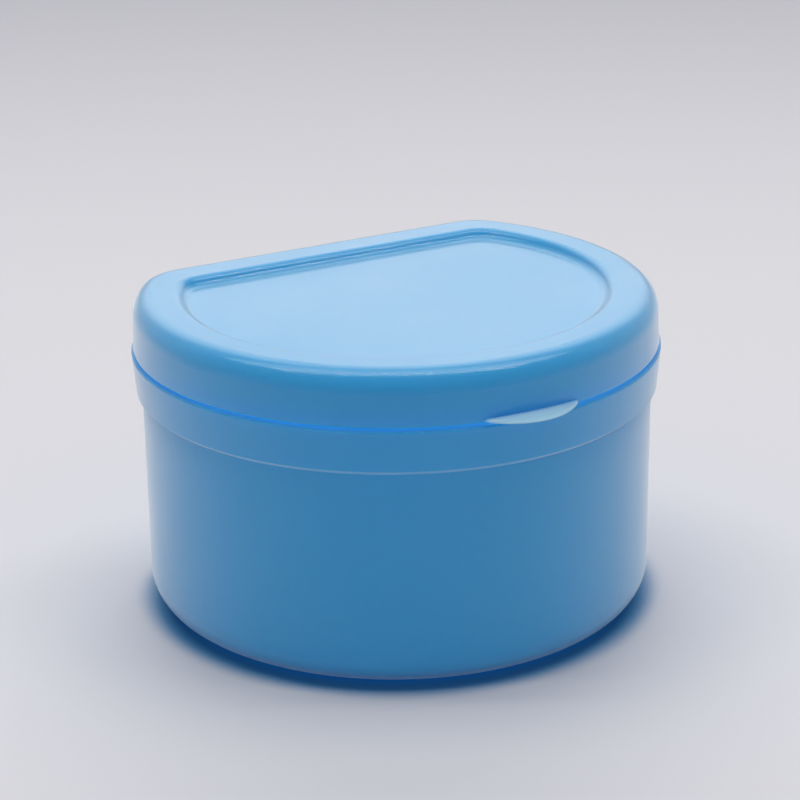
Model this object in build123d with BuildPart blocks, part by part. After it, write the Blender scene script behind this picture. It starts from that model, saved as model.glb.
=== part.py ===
from build123d import *
import os
from math import atan2, degrees, hypot, radians, sqrt, tan

# Hinged denture case: a D-shaped moulded tub, its snap-hinged lid and a lift-out strainer basket.
# Millimetres, +Z up, front of the case towards -Y. The origin is on the underside, at the centre
# of the front arc. Every outline is the rim's D, drawn inwards by an inset.

# Outline of the rim
case_width = 95.0  # across the rim, twice the radius of its front arc
back_reach = 32.6  # flat back, behind the centre of the front arc
corner_radius = 11.6  # between the front arc and the flat back

# Heights
case_height = 58.0
lid_height = 10.0  # from the shoulder that the lid's skirt closes on to the top
collar_height = 8.0  # thick band below the shoulder
tongue_height = 3.0  # upstand on the shoulder, inside the lid's skirt
seam_gap = 0.6  # between the shoulder and the closed lid

# Tub
collar_flare = 0.7  # the collar leans out by this from its foot to the rim
collar_step = 0.95  # from the collar's foot in to the body
tub_wall = 1.6
tub_floor = 1.8
body_draft = 0.25  # degrees
base_round = 6.5
edge_break = 0.3  # on the shoulder and the tongue's lip
rib_width = 1.8
rib_reach = 1.4  # ribs stand in from the wall and carry the basket
rib_angles = (-80, -32, 32, 80)  # degrees from the front
rib_spread = 40.0  # between the two ribs on the flat back
rib_drop = 7.0  # the ribs' tops lie below the shoulder, and the basket hangs on them

# Lid
lid_inset = 0.4  # the skirt's foot stands in from the rim
skirt_wall = 1.4
skirt_draft = 1.5  # degrees
lid_wall = 1.6
lid_round = 3.8
dish_depth = 1.5
dish_front_border = 8.8  # from the rim in to the sunk panel's upper edge, round the front arc
dish_back_border = 9.5  # the same at the flat back
dish_corner = 5.5
dish_slope = 42.0  # degrees, lean of the panel's wall
dish_round = 1.8

# Thumb tab
tab_radius = 11.4
tab_reach = 3.5  # beyond the rim
tab_root = 1.0
tab_edge = 0.6

# Snap bead on the tongue and its groove in the skirt
tongue_gap = 0.25
bead_reach = 0.2
bead_radius = 0.5
bead_sweep = 24.0  # degrees
bead_height = 1.6  # above the shoulder
groove_gap = 0.2

# Hinge: bars moulded between the lid's arms snap into clips on the tub
hinge_spread = 34.0  # between the two clips
hinge_standoff = 3.0  # from the rim's flat back to the axis
hinge_rise = 1.0  # axis above the shoulder
bar_radius = 1.2
bar_clearance = 0.08
clip_width = 8.0
clip_wall = 1.3
clip_mouth = 2.0  # narrower than the bar, which snaps through it
clip_foot = 5.5  # web below the shoulder
clip_drop = 1.7  # web's upper corner below the shoulder
arm_width = 3.0
arm_gap = 0.4
arm_radius = 2.2
arm_foot = 0.5  # arm's root above the skirt's lower edge
arm_root = 4.0
opening_angle = 120.0  # degrees, where the arms' heels meet the collar
heel_drop = 1.75  # heel's contact below the axis
heel_radius = 0.6
heel_gap = 0.12

# Basket
flange_gap = 0.35  # to the tub's wall
flange_thickness = 1.5
seat_gap = 0.2  # above the ribs' tops
basket_wall = 1.2
basket_gap = 0.45  # to the ribs' faces
basket_draft = 2.0  # degrees
basket_floor = 1.4
basket_stand = 3.8  # under the basket's floor
basket_round = 4.2
slot_width = 2.4
slot_rows = 2
slot_band = 2.0  # between rows
slot_turn = 9.0  # degrees between slots round the front
slot_pitch = 6.2  # between slots along the back
mesh_hole = 2.4
mesh_pitch = 6.0
mesh_margin = 1.0
grip_height = 5.5
grip_width = 15.0
grip_wall = 1.4
grip_round = 4.0

# Sizes that follow
rim_radius = case_width / 2
rim_height = case_height - lid_height
collar_foot = rim_height - collar_height
body_inset = collar_flare + collar_step
tongue_top = rim_height + tongue_height
tongue_inset = lid_inset + skirt_wall + tongue_gap
wall_drift = tan(radians(body_draft))
hollow_inset = body_inset + tub_wall  # at the collar's foot
lid_bottom = rim_height + seam_gap
lid_ceiling = case_height - lid_wall
dish_radius = rim_radius - dish_front_border
dish_back = back_reach - dish_back_border
tab_centre = -(rim_radius + tab_reach) + tab_radius
hinge_y = back_reach + hinge_standoff
hinge_z = rim_height + hinge_rise
rib_face = hollow_inset + rib_reach
basket_seat = rim_height - rib_drop
flange_bottom = basket_seat + seat_gap
flange_top = flange_bottom + flange_thickness
flange_inset = hollow_inset + flange_gap
basket_inset = rib_face + basket_gap  # outside of its wall, under the flange
basket_bottom = tub_floor + basket_stand
basket_inside = basket_bottom + basket_floor
basket_lean = tan(radians(basket_draft))
embed = 0.4  # roots of clips and arms inside the wall that carries them


def d_outline(inset, radius=rim_radius, back=back_reach, corner=corner_radius):
    """Add a D to the sketch in hand: a front arc about the origin, two round corners and a flat back."""
    front = radius - inset
    flat = back - inset
    turn = max(corner - inset, 1.0)
    corner_y = flat - turn
    corner_x = sqrt((front - turn) ** 2 - corner_y**2)
    lean = degrees(atan2(corner_y, corner_x))
    with BuildLine() as outline:
        CenterArc((0, 0), front, 180 - lean, 180 + 2 * lean)
        CenterArc((corner_x, corner_y), turn, lean, 90 - lean)
        Line((corner_x, flat), (-corner_x, flat))
        CenterArc((-corner_x, corner_y), turn, 90, 90 - lean)
    make_face(outline.edges())


def side_plane(x):
    """Plane across the hinge at x, its own x along +Y and its own y along +Z."""
    return Plane(origin=(x, 0, 0), x_dir=(0, 1, 0), z_dir=(1, 0, 0))


def front_plane(turn):
    """Upright plane through the origin's axis, turned by degrees from the front."""
    return side_plane(0).rotated((0, 0, turn))


def snap_bead(radius, sweep):
    """Add a half-round bead on the tongue's front, or cut its groove, about the part's axis."""
    with BuildSketch(front_plane(-sweep / 2)) as section:
        with Locations((tongue_inset - rim_radius + bead_radius - bead_reach, rim_height + bead_height)):
            Circle(radius)
    return revolve(section.sketch, axis=Axis.Z, revolution_arc=sweep, mode=Mode.PRIVATE)


# Hollow of the tub, with a groove wherever a rib stands
core_top_inset = hollow_inset - (tongue_top - collar_foot) * wall_drift
with BuildPart() as tub_hollow:
    with BuildSketch(Plane.XY.offset(tongue_top)):
        d_outline(core_top_inset)
    extrude(amount=tub_floor - tongue_top, taper=body_draft)
    fillet(tub_hollow.faces().sort_by(Axis.Z)[0].edges(), base_round - tub_wall)
    with BuildSketch(Plane.XY.offset(basket_seat)):
        for angle in rib_angles:
            with PolarLocations(rim_radius - rib_face, 1, start_angle=angle - 90):
                Rectangle(2 * rib_reach, rib_width, align=(Align.MIN, Align.CENTER))
        with Locations((-rib_spread / 2, back_reach - rib_face), (rib_spread / 2, back_reach - rib_face)):
            Rectangle(rib_width, 2 * rib_reach, align=(Align.CENTER, Align.MIN))
    extrude(amount=tub_floor - basket_seat, mode=Mode.SUBTRACT)

# Tub: drafted body on a round foot, flared collar, shoulder and tongue, two clips on the back
clip_radius = bar_radius + bar_clearance + clip_wall
with BuildPart() as tub:
    with BuildSketch(Plane.XY.offset(collar_foot)):
        d_outline(body_inset)
    extrude(amount=-collar_foot, taper=body_draft)
    fillet(tub.faces().sort_by(Axis.Z)[0].edges(), base_round)
    with BuildSketch(Plane.XY.offset(rim_height)):
        d_outline(0)
    extrude(amount=-collar_height, taper=degrees(atan2(collar_flare, collar_height)))
    collar_edge = tub.faces().filter_by(Plane.XY).group_by(Axis.Z)[-2].faces()[0].outer_wire().edges()
    chamfer(collar_edge, collar_step * 0.8)
    chamfer(tub.faces().sort_by(Axis.Z)[-1].edges(), edge_break)
    with BuildSketch(Plane.XY.offset(rim_height)):
        d_outline(tongue_inset)
    extrude(amount=tongue_height)
    chamfer(tub.faces().sort_by(Axis.Z)[-1].edges(), edge_break)
    for side in (-1, 1):
        with BuildSketch(side_plane(side * hinge_spread / 2 - clip_width / 2)):
            with Locations((hinge_y, hinge_z)):
                Circle(clip_radius)
            with Locations((back_reach - collar_flare - embed, rim_height - clip_drop)):
                Rectangle(embed, clip_foot - clip_drop, align=(Align.MAX, Align.MAX))
            make_hull()
            with Locations((hinge_y, hinge_z)):
                Circle(bar_radius + bar_clearance, mode=Mode.SUBTRACT)
                Rectangle(
                    2 * clip_radius, clip_mouth, rotation=45,
                    align=(Align.MIN, Align.CENTER), mode=Mode.SUBTRACT,
                )
        extrude(amount=clip_width)
    add(tub_hollow.part, mode=Mode.SUBTRACT)
    add(snap_bead(bead_radius, bead_sweep))

# Lid: drafted cap with a sunk top panel, a thumb tab in front and the hinge arms behind
heel_distance = hypot(hinge_standoff, heel_drop) - heel_gap - heel_radius
heel_turn = opening_angle + 180 + degrees(atan2(heel_drop, hinge_standoff))
with BuildPart() as lid:
    with BuildSketch(Plane.XY.offset(lid_bottom)):
        d_outline(lid_inset)
    extrude(amount=case_height - lid_bottom, taper=skirt_draft)
    fillet(lid.faces().sort_by(Axis.Z)[-1].edges(), lid_round)
    with BuildSketch(side_plane(0)):
        with BuildLine():
            Polyline(
                (tab_centre, lid_bottom + tab_root),
                (tab_centre, lid_bottom),
                (tab_centre - tab_radius + tab_edge / 2, lid_bottom),
                (tab_centre - tab_radius, lid_bottom + tab_edge / 2),
                (tab_centre - tab_radius + tab_edge / 2, lid_bottom + tab_edge),
                close=True,
            )
        make_face()
    revolve(axis=Axis((0, tab_centre, 0), (0, 0, 1)))
    with BuildSketch(Plane.XY.offset(lid_bottom)):
        d_outline(lid_inset + skirt_wall)
    extrude(amount=lid_ceiling - lid_bottom, taper=skirt_draft, mode=Mode.SUBTRACT)
    ceiling = lid.faces().filter_by(Plane.XY).group_by(Axis.Z)[-2].faces()[0]
    fillet(ceiling.outer_wire().edges(), lid_round - lid_wall)
    with BuildSketch(Plane.XY.offset(lid_ceiling)):
        d_outline(-lid_wall * tan(radians(45 - dish_slope / 2)), dish_radius, dish_back, dish_corner)
    extrude(amount=-dish_depth, taper=dish_slope)
    with BuildSketch(Plane.XY.offset(case_height)):
        d_outline(0, dish_radius, dish_back, dish_corner)
    extrude(amount=-dish_depth, taper=dish_slope, mode=Mode.SUBTRACT)
    upper_faces = lid.faces().filter_by(Plane.XY).group_by(Axis.Z)
    fillet(upper_faces[-2].faces()[0].edges() + upper_faces[-1].faces()[0].inner_wires()[0].edges(), dish_round)
    for side in (-1, 1):
        knuckle_width = clip_width + 2 * (arm_gap + arm_width)
        knuckle_start = side * hinge_spread / 2 - knuckle_width / 2
        for arm_start in (knuckle_start, knuckle_start + knuckle_width - arm_width):
            with BuildSketch(side_plane(arm_start)):
                with Locations((hinge_y, hinge_z)):
                    Circle(arm_radius)
                    with PolarLocations(heel_distance, 1, start_angle=heel_turn):
                        Circle(heel_radius)
                with Locations((back_reach - lid_inset - embed, lid_bottom + arm_foot)):
                    Rectangle(embed, arm_root, align=(Align.MAX, Align.MIN))
                make_hull()
            extrude(amount=arm_width)
        with BuildSketch(side_plane(knuckle_start)):
            with Locations((hinge_y, hinge_z)):
                Circle(bar_radius)
        extrude(amount=knuckle_width)
    add(snap_bead(bead_radius + groove_gap, bead_sweep + 2), mode=Mode.SUBTRACT)

# Basket: drafted strainer with a flange on the ribs, slots all round and a meshed floor
slot_bottom = basket_bottom + basket_round + slot_band / 2
slot_height = (flange_bottom - slot_bottom) / slot_rows - slot_band
mesh_radius = rim_radius - basket_inset - (flange_bottom - basket_bottom) * basket_lean - basket_round
mesh_back = mesh_radius + back_reach - rim_radius
with BuildPart() as basket_hollow:
    with BuildSketch(Plane.XY.offset(flange_top)):
        d_outline(basket_inset + basket_wall - flange_thickness * basket_lean)
    extrude(amount=basket_inside - flange_top, taper=basket_draft)
    fillet(basket_hollow.faces().sort_by(Axis.Z)[0].edges(), basket_round - basket_wall)

with BuildPart() as basket:
    with BuildSketch(Plane.XY.offset(flange_bottom)):
        d_outline(basket_inset)
    extrude(amount=basket_bottom - flange_bottom, taper=basket_draft)
    fillet(basket.faces().sort_by(Axis.Z)[0].edges(), basket_round)
    with BuildSketch(Plane.XY.offset(flange_bottom)):
        d_outline(flange_inset)
    extrude(amount=flange_thickness)
    add(basket_hollow.part, mode=Mode.SUBTRACT)
    wall_middle = basket_inset + basket_wall / 2
    slot_cut = 6 * basket_wall
    corner_turn = corner_radius - wall_middle
    corner_y = back_reach - wall_middle - corner_turn
    corner_x = sqrt((rim_radius - wall_middle - corner_turn) ** 2 - corner_y**2)
    front_steps = int((90 + degrees(atan2(corner_y, corner_x))) / slot_turn)
    back_steps = int((corner_x - slot_width / 2) / slot_pitch)
    for row in range(slot_rows):
        with BuildSketch(Plane.XY.offset(slot_bottom + row * (slot_height + slot_band))):
            with PolarLocations(
                rim_radius - wall_middle, 2 * front_steps + 1,
                start_angle=-90 - front_steps * slot_turn, angular_range=2 * front_steps * slot_turn,
                endpoint=True,
            ):
                Rectangle(slot_cut, slot_width)
            with Locations((0, back_reach - wall_middle)):
                with GridLocations(slot_pitch, 1, 2 * back_steps + 1, 1):
                    Rectangle(slot_width, slot_cut)
        extrude(amount=slot_height, mode=Mode.SUBTRACT)
    mesh_steps = int(mesh_radius / mesh_pitch)
    hole_reach = mesh_hole / 2 + mesh_margin
    grid = [(i * mesh_pitch, j * mesh_pitch) for i in range(-mesh_steps, mesh_steps + 1)
            for j in range(-mesh_steps, mesh_steps + 1)]
    mesh_spots = [(x, y) for x, y in grid
                  if hypot(abs(x) + hole_reach, abs(y) + hole_reach) < mesh_radius and y + hole_reach < mesh_back]
    with BuildSketch(Plane.XY.offset(basket_bottom)):
        with Locations(*mesh_spots):
            Rectangle(mesh_hole, mesh_hole)
    extrude(amount=basket_floor, mode=Mode.SUBTRACT)
    grip_radius = rim_radius - (flange_inset + basket_inset + basket_wall) / 2 + grip_wall / 2
    with BuildSketch(Plane.XY.offset(flange_top)):
        Circle(grip_radius)
        Circle(grip_radius - grip_wall, mode=Mode.SUBTRACT)
        Rectangle(2 * rim_radius, grip_width, mode=Mode.INTERSECT)
    extrude(amount=grip_height)
    fillet(basket.edges().filter_by(Axis.X).group_by(Axis.Z)[-1], grip_round)

tub.part.label = "base_tub"
lid.part.label = "lid"
basket.part.label = "basket"

os.makedirs("parts", exist_ok=True)
export_step(tub.part, "parts/base_tub.step")
export_step(lid.part, "parts/lid.step")
export_step(basket.part, "parts/basket.step")
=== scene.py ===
import bpy
from math import cos, radians, sin
from mathutils import Matrix, Vector

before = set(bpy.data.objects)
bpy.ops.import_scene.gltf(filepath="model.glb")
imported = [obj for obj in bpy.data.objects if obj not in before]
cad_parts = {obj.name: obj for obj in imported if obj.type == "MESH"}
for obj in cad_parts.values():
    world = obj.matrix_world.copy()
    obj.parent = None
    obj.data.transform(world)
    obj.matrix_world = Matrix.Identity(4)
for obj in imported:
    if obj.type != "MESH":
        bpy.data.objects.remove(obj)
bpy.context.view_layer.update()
scene = bpy.context.scene
scene.view_settings.view_transform = "Standard"


# ---- Tub ---------------------------------------------------------------------------------------
# The bowl that stands on the shelf and holds the cleaning water: one injection moulding of
# pigmented polypropylene random copolymer, with its collar, tongue and hinge clips moulded on. Its
# mesh stays as it comes, so here it only gets its plastic.

mm = 0.001
micrometre = 0.000001

# The sockets of a colour Mix node, which share their names with others of that node.
mix_factor, mix_first, mix_second, mix_result = 0, 6, 7, 2


def linear(hex_colour):
    """An sRGB hex colour as the linear RGBA that the shaders take."""
    channels = [int(hex_colour[i:i + 2], 16) / 255 for i in (0, 2, 4)]
    return [c / 12.92 if c <= 0.04045 else ((c + 0.055) / 1.055) ** 2.4 for c in channels] + [1.0]


def add_node(tree, kind, settings=None, values=None, links=None):
    """A node of a kind, with its settings, its sockets' values and what feeds its sockets."""
    node = tree.nodes.new(kind)
    for name, setting in (settings or {}).items():
        setattr(node, name, setting)
    for socket, value in (values or {}).items():
        node.inputs[socket].default_value = value
    for socket, source in (links or {}).items():
        tree.links.new(source, node.inputs[socket])
    return node


def moulded_polypropylene(
    name, colour, gloss_roughness, translucency, ripple_height, painted_crevice_glow=0.0,
):
    """Injection-moulded polypropylene from a polished steel mould.

    A low, waxy gloss with soft sink ripples a few millimetres apart, a very fine mould grain,
    light that goes a little way into the wall, and here and there a speck of dust in the surface.
    In gaps under 2 mm wide a deeper blue glow is painted in: painted light that stands in
    for light soaking through the pigment.
    """
    ripple_spacing = 9 * mm
    # The mould's real grain is finer than this. It is drawn as coarse as it needs to show.
    grain_spacing, grain_height = 0.45 * mm, 2.5 * micrometre
    gloss_patch = 22 * mm
    speck_spacing, speck_radius, speck_core = 11 * mm, 0.154 * mm, 0.066 * mm
    speck_colour, speck_strength, share_without_speck = "5A6672", 0.35, 0.6
    gap_width, gap_opens, gap_closes, painted_glow_colour = 2 * mm, 0.5, 0.1, "008EBF"

    material = bpy.data.materials.new(name)
    material.use_nodes = True
    tree = material.node_tree
    shader = tree.nodes["Principled BSDF"]
    place = add_node(tree, "ShaderNodeTexCoord").outputs["Object"]

    # The relief: the ripples, and the grain on top of them.
    ripples = add_node(
        tree, "ShaderNodeTexNoise", values={"Scale": 1 / ripple_spacing, "Detail": 1.0},
        links={"Vector": place},
    )
    grain = add_node(
        tree, "ShaderNodeTexNoise", values={"Scale": 1 / grain_spacing, "Detail": 2.0},
        links={"Vector": place},
    )
    ripple_bump = add_node(
        tree, "ShaderNodeBump", values={"Strength": 1.0, "Distance": ripple_height},
        links={"Height": ripples.outputs["Fac"]},
    )
    grain_bump = add_node(
        tree, "ShaderNodeBump", values={"Strength": 1.0, "Distance": grain_height},
        links={"Height": grain.outputs["Fac"], "Normal": ripple_bump.outputs["Normal"]},
    )
    tree.links.new(grain_bump.outputs["Normal"], shader.inputs["Normal"])

    # The gloss: some patches came off the steel a little sharper or duller than the rest.
    patches = add_node(
        tree, "ShaderNodeTexNoise", values={"Scale": 1 / gloss_patch, "Detail": 3.0},
        links={"Vector": place},
    )
    roughness = add_node(
        tree, "ShaderNodeMapRange",
        values={
            "From Min": 0.3, "From Max": 0.7,
            "To Min": gloss_roughness * 0.85, "To Max": gloss_roughness * 1.2,
        },
        links={"Value": patches.outputs["Fac"]},
    )
    tree.links.new(roughness.outputs["Result"], shader.inputs["Roughness"])

    # The pigment, and a grey speck of dust in some of the cells of a loose grid.
    cells = add_node(
        tree, "ShaderNodeTexVoronoi", values={"Scale": 1 / speck_spacing}, links={"Vector": place},
    )
    speck = add_node(
        tree, "ShaderNodeMapRange",
        values={
            "From Min": speck_radius / speck_spacing, "From Max": speck_core / speck_spacing,
            "To Min": 0.0, "To Max": speck_strength,
        },
        links={"Value": cells.outputs["Distance"]},
    )
    dusty_cell = add_node(
        tree, "ShaderNodeMath", {"operation": "GREATER_THAN"}, {1: share_without_speck},
        {0: cells.outputs["Color"]},
    )
    dust = add_node(
        tree, "ShaderNodeMath", {"operation": "MULTIPLY"},
        links={0: speck.outputs["Result"], 1: dusty_cell.outputs["Value"]},
    )
    pigment = add_node(
        tree, "ShaderNodeMix", {"data_type": "RGBA"},
        {mix_first: linear(colour), mix_second: linear(speck_colour)},
        {mix_factor: dust.outputs["Value"]},
    )
    tree.links.new(pigment.outputs[mix_result], shader.inputs["Base Color"])

    # A painted glow: the walls of narrow gaps, such as the seam's, give out a deeper blue light of
    # their own.
    if painted_crevice_glow:
        openness = add_node(
            tree, "ShaderNodeAmbientOcclusion", {"samples": 8}, {"Distance": gap_width},
        )
        painted_glow_amount = add_node(
            tree, "ShaderNodeMapRange", {"interpolation_type": "SMOOTHSTEP"},
            {"From Min": gap_opens, "From Max": gap_closes, "To Min": 0.0, "To Max": painted_crevice_glow},
            {"Value": openness.outputs["AO"]},
        )
        tree.links.new(painted_glow_amount.outputs["Result"], shader.inputs["Emission Strength"])
        shader.inputs["Emission Color"].default_value = linear(painted_glow_colour)

    for socket, value in {
        "IOR": 1.49,
        "Specular IOR Level": 0.25,
        "Coat Weight": 0.6,
        "Coat Roughness": 0.06,
        "Sheen Weight": 0.75,
        "Sheen Roughness": 0.5,
        "Subsurface Weight": translucency,
        "Subsurface Radius": (0.3, 0.7, 1.0),
        "Subsurface Scale": 3 * mm,
    }.items():
        shader.inputs[socket].default_value = value
    return material


# The batch's crevice glow is painted light, a blue glow in narrow gaps.
sky_blue_batch = {
    "colour": "1AA6E2", "gloss_roughness": 0.36, "translucency": 0.5,
    "ripple_height": 8 * micrometre, "painted_crevice_glow": 0.5,
}
sky_blue = moulded_polypropylene("moulded_polypropylene_sky_blue", **sky_blue_batch)
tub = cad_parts["base_tub"]
tub.data.materials.clear()
tub.data.materials.append(sky_blue)


# ---- Lid ---------------------------------------------------------------------------------------
# The cap that snaps over the tub's tongue: a second moulding from the same batch of polypropylene,
# with a sunk top panel, a thumb tab and the arms of the hinge. The tab, all that stands out past
# the front arc, gets a paler blue painted into its colour: a painted highlight for the light it
# catches.

# The tab's painted highlight: pale blue mixed in from the front arc outwards, at the front.
arc_radius = 47.1 * mm
tab_highlight_radius = 47.9 * mm
tab_front = -44 * mm
painted_highlight_blue = "A8D3EE"

lid_blue = moulded_polypropylene("moulded_polypropylene_sky_blue_lid", **sky_blue_batch)
lid_tree = lid_blue.node_tree
lid_colour = lid_tree.nodes["Principled BSDF"].inputs["Base Color"]
on_lid = add_node(lid_tree, "ShaderNodeTexCoord").outputs["Object"]
in_plan = add_node(
    lid_tree, "ShaderNodeVectorMath", {"operation": "MULTIPLY"}, {1: (1.0, 1.0, 0.0)}, {0: on_lid},
)
from_centre = add_node(
    lid_tree, "ShaderNodeVectorMath", {"operation": "LENGTH"},
    links={0: in_plan.outputs["Vector"]},
)
past_arc = add_node(
    lid_tree, "ShaderNodeMapRange", {"interpolation_type": "SMOOTHSTEP"},
    {"From Min": arc_radius, "From Max": tab_highlight_radius}, {"Value": from_centre.outputs["Value"]},
)
lid_axes = add_node(lid_tree, "ShaderNodeSeparateXYZ", links={0: on_lid})
at_front = add_node(
    lid_tree, "ShaderNodeMath", {"operation": "LESS_THAN"}, {1: tab_front},
    {0: lid_axes.outputs["Y"]},
)
on_tab = add_node(
    lid_tree, "ShaderNodeMath", {"operation": "MULTIPLY"},
    links={0: past_arc.outputs["Result"], 1: at_front.outputs["Value"]},
)
# Painted highlight: the tab's colour is turned a paler blue.
tab_painted_highlight = add_node(
    lid_tree, "ShaderNodeMix", {"data_type": "RGBA"}, {mix_second: linear(painted_highlight_blue)},
    {mix_factor: on_tab.outputs["Value"], mix_first: lid_colour.links[0].from_socket},
)
lid_tree.links.new(tab_painted_highlight.outputs[mix_result], lid_colour)

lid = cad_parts["lid"]
lid.data.materials.clear()
lid.data.materials.append(lid_blue)


# ---- Basket ------------------------------------------------------------------------------------
# The strainer that lifts the denture out of the water: one moulding of uncoloured polypropylene,
# milky and slightly see-through, hung by its flange on the tub's ribs.

natural = moulded_polypropylene(
    "moulded_polypropylene_natural", colour="E6EDF0", gloss_roughness=0.3, translucency=0.5,
    ripple_height=10 * micrometre,
)
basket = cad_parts["basket"]
basket.data.materials.clear()
basket.data.materials.append(natural)


# ---- Table -------------------------------------------------------------------------------------
# A sheet of off-white uncoated paper that runs on out of sight, matt and plain. Painted shade
# makes it a little greyer behind the case, a painted shadow darkens it blue in the crease under
# the foot, and far off a painted glow makes it as pale as the tent around it.

view_azimuth = radians(-28.75)
view_elevation = radians(20.31)
towards_viewer = Vector((sin(view_azimuth), -cos(view_azimuth), 0))
across_view = Vector((cos(view_azimuth), sin(view_azimuth), 0))

# The second tone is painted shade, laid on behind the case.
near_paper, paper_in_painted_shade = "E2DFE3", "BAB8BF"
greyer_from, grey_at = 0.08, 0.75
# A painted shadow: dark blue in the crease under the foot.
crease_reach, crease_opens, crease_closes, painted_shadow_blue = 7 * mm, 0.8, 0.45, "4C8EB9"
# A painted glow: the far paper shines paler for the camera.
far_glow_colour, paler_from, palest_at, far_strength = "F4F4F8", 0.6, 1.8, 0.33

paper = bpy.data.materials.new("matt_paper")
paper.use_nodes = True
paper_tree = paper.node_tree
paper_shader = paper_tree.nodes["Principled BSDF"]
on_table = add_node(paper_tree, "ShaderNodeTexCoord").outputs["Object"]
# Painted shade: the paper is made greyer behind the case.
behind_case = add_node(
    paper_tree, "ShaderNodeVectorMath", {"operation": "DOT_PRODUCT"}, {1: -towards_viewer},
    {0: on_table},
)
painted_shade_behind = add_node(
    paper_tree, "ShaderNodeMapRange", {"interpolation_type": "SMOOTHSTEP"},
    {"From Min": greyer_from, "From Max": grey_at}, {"Value": behind_case.outputs["Value"]},
)
tone = add_node(
    paper_tree, "ShaderNodeMix", {"data_type": "RGBA"},
    {mix_first: linear(near_paper), mix_second: linear(paper_in_painted_shade)},
    {mix_factor: painted_shade_behind.outputs["Result"]},
)

# In the crease under the rounded foot a dark blue is painted into the paper: a painted shadow,
# tinted as if lit only by light that the blue plastic passes.
crease = add_node(
    paper_tree, "ShaderNodeAmbientOcclusion", {"samples": 8}, {"Distance": crease_reach},
)
painted_shadow_amount = add_node(
    paper_tree, "ShaderNodeMapRange", {"interpolation_type": "SMOOTHSTEP"},
    {"From Min": crease_opens, "From Max": crease_closes}, {"Value": crease.outputs["AO"]},
)
paper_with_painted_shadow = add_node(
    paper_tree, "ShaderNodeMix", {"data_type": "RGBA"}, {mix_second: linear(painted_shadow_blue)},
    {mix_factor: painted_shadow_amount.outputs["Result"], mix_first: tone.outputs[mix_result]},
)
paper_tree.links.new(paper_with_painted_shadow.outputs[mix_result], paper_shader.inputs["Base Color"])
paper_shader.inputs["Roughness"].default_value = 0.6
paper_shader.inputs["Specular IOR Level"].default_value = 0.1

# Far from the case the paper glows paler for the camera alone: painted light, which puts
# no more light on the case.
reach = add_node(
    paper_tree, "ShaderNodeVectorMath", {"operation": "LENGTH"}, links={0: on_table},
)
pale_distance = add_node(
    paper_tree, "ShaderNodeMapRange", {"interpolation_type": "SMOOTHSTEP"},
    {"From Min": paler_from, "From Max": palest_at, "To Max": far_strength},
    {"Value": reach.outputs["Value"]},
)
paper_in_view = add_node(paper_tree, "ShaderNodeLightPath").outputs["Is Camera Ray"]
pale = add_node(
    paper_tree, "ShaderNodeMath", {"operation": "MULTIPLY"},
    links={0: pale_distance.outputs["Result"], 1: paper_in_view},
)
paper_shader.inputs["Emission Color"].default_value = linear(far_glow_colour)
paper_tree.links.new(pale.outputs["Value"], paper_shader.inputs["Emission Strength"])

bpy.ops.object.select_all(action="DESELECT")
bpy.ops.mesh.primitive_circle_add(vertices=96, radius=4.0, fill_type="NGON", location=(0, 0, 0))
table = bpy.context.object
table.name = "table_paper"
table.data.materials.append(paper)


# ---- Light tent --------------------------------------------------------------------------------
# A tent of white cloth round the table, dim all over, lighter on the viewer's side and with a lit
# panel high on its back. Seen straight on, it is plain pale grey.

tent_white, tent_in_sight = "DCEBFF", "D4D4DB"

tent = bpy.data.worlds.new("light_tent")
scene.world = tent
tent.use_nodes = True
tent_tree = tent.node_tree
tent_direction = add_node(tent_tree, "ShaderNodeTexCoord").outputs["Generated"]


def tent_wall(centre, start, full, dark, bright):
    """A part of the tent whose light grows smoothly towards its centre, by the cosine to it."""
    nearness = add_node(
        tent_tree, "ShaderNodeVectorMath", {"operation": "DOT_PRODUCT"}, {1: centre},
        {0: tent_direction},
    )
    brightness = add_node(
        tent_tree, "ShaderNodeMapRange", {"interpolation_type": "SMOOTHSTEP"},
        {"From Min": start, "From Max": full, "To Min": dark, "To Max": bright},
        {"Value": nearness.outputs["Value"]},
    )
    return brightness.outputs["Result"]


def above_back(elevation):
    """The direction at an elevation above the tent's back edge."""
    return Vector((0, 0, 1)) * sin(radians(elevation)) - towards_viewer * cos(radians(elevation))


walls = tent_wall(towards_viewer, start=-0.1, full=0.9, dark=0.23, bright=0.46)
back_panel = tent_wall(above_back(32), start=0.80, full=0.97, dark=0.0, bright=1.5)
tent_glow = add_node(
    tent_tree, "ShaderNodeVectorMath", {"operation": "MULTIPLY_ADD"}, {1: linear(tent_white)[:3]},
    {0: walls, 2: back_panel},
)
tent_in_view = add_node(tent_tree, "ShaderNodeLightPath").outputs["Is Camera Ray"]
tent_colour = add_node(
    tent_tree, "ShaderNodeMix", {"data_type": "RGBA"}, {mix_second: linear(tent_in_sight)},
    {mix_factor: tent_in_view, mix_first: tent_glow.outputs["Vector"]},
)
tent_tree.links.new(tent_colour.outputs[mix_result], tent_tree.nodes["Background"].inputs["Color"])


# ---- Lamps -------------------------------------------------------------------------------------
# A soft panel and two rows of bulbs that hang over the case, level and square to the view. They
# light its top, and give the lid's rounded edge its thin bright band.

case_top = Vector((0, 0, 58 * mm))
lamp_distance = 1.6
warm_white = (1.0, 0.97, 0.9)


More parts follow.
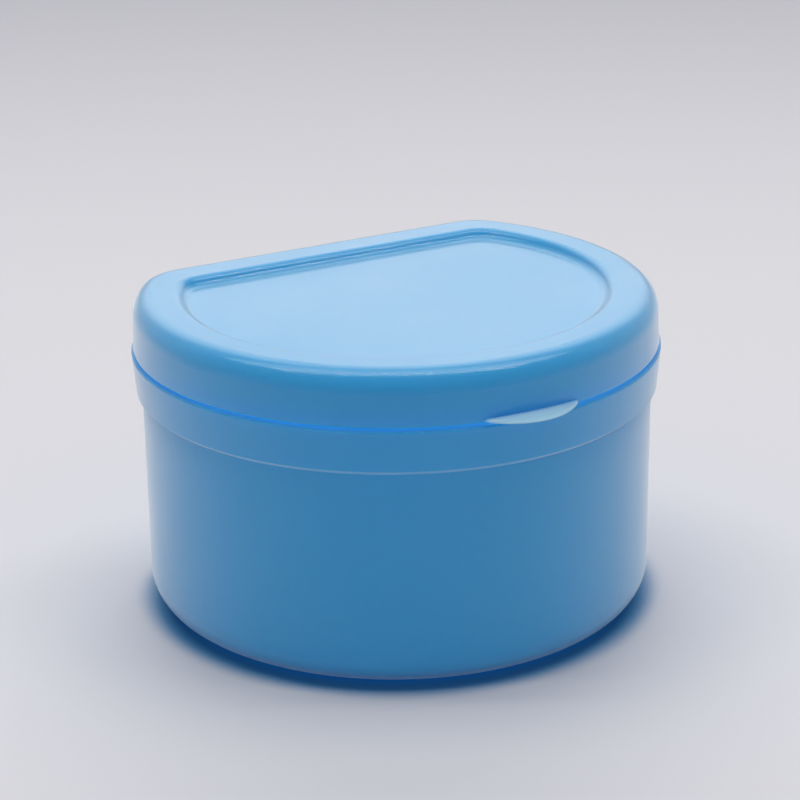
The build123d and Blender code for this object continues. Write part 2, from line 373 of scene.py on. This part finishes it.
def overhead_lamps(name, elevation, length, depth, power, count=1, lit=1.0):
    """A level row of lamps that face the case's top, each lit over a part of its share of it."""
    towards_lamps = above_back(elevation)
    lamp_data = bpy.data.lights.new(name, "AREA")
    lamp_data.shape = "RECTANGLE"
    lamp_data.size = length / count * lit
    lamp_data.size_y = depth
    lamp_data.energy = power / count
    lamp_data.color = warm_white
    for index in range(count):
        lamp = bpy.data.objects.new(f"{name}_{index}", lamp_data)
        scene.collection.objects.link(lamp)
        along_row = across_view * length * ((index + 0.5) / count - 0.5)
        hung_at = towards_lamps * lamp_distance + along_row + case_top
        lamp.matrix_world = Matrix.Translation(hung_at) @ Matrix(
            (across_view, towards_lamps.cross(across_view), towards_lamps)
        ).transposed().to_4x4()
        lamp.visible_camera = False


overhead_lamps("ceiling_panel", elevation=77, length=2.4, depth=0.48, power=8.4)
overhead_lamps("bulb_middle", elevation=88, length=2.0, depth=0.14, power=6.0, count=29, lit=0.35)
overhead_lamps("bulb_front", elevation=97, length=2.0, depth=0.10, power=4.8, count=29, lit=0.35)


# ---- Camera ------------------------------------------------------------------------------------
# A long lens half a metre away, a hand's length above the lid and 29 degrees round to the left of
# its tab.

frame_pixels = 800
focal_pixels = 2646.45
camera_roll = radians(-0.77)
camera_distance = 0.29586
camera_target = Vector((-0.08271, -0.15191, 0.10012))

camera_back = towards_viewer * cos(view_elevation) + Vector((0, 0, sin(view_elevation)))
camera_rise = camera_back.cross(across_view)
camera_right = across_view * cos(camera_roll) + camera_rise * sin(camera_roll)
camera_up = camera_rise * cos(camera_roll) - across_view * sin(camera_roll)
camera = bpy.data.objects.new("camera", bpy.data.cameras.new("camera"))
scene.collection.objects.link(camera)
camera.matrix_world = Matrix.Translation(camera_target + camera_back * camera_distance) @ Matrix(
    (camera_right, camera_up, camera_back)
).transposed().to_4x4()
camera.data.sensor_width = 36
camera.data.lens = focal_pixels / frame_pixels * camera.data.sensor_width
camera.data.clip_start = 0.01
camera.data.clip_end = 20
scene.camera = camera
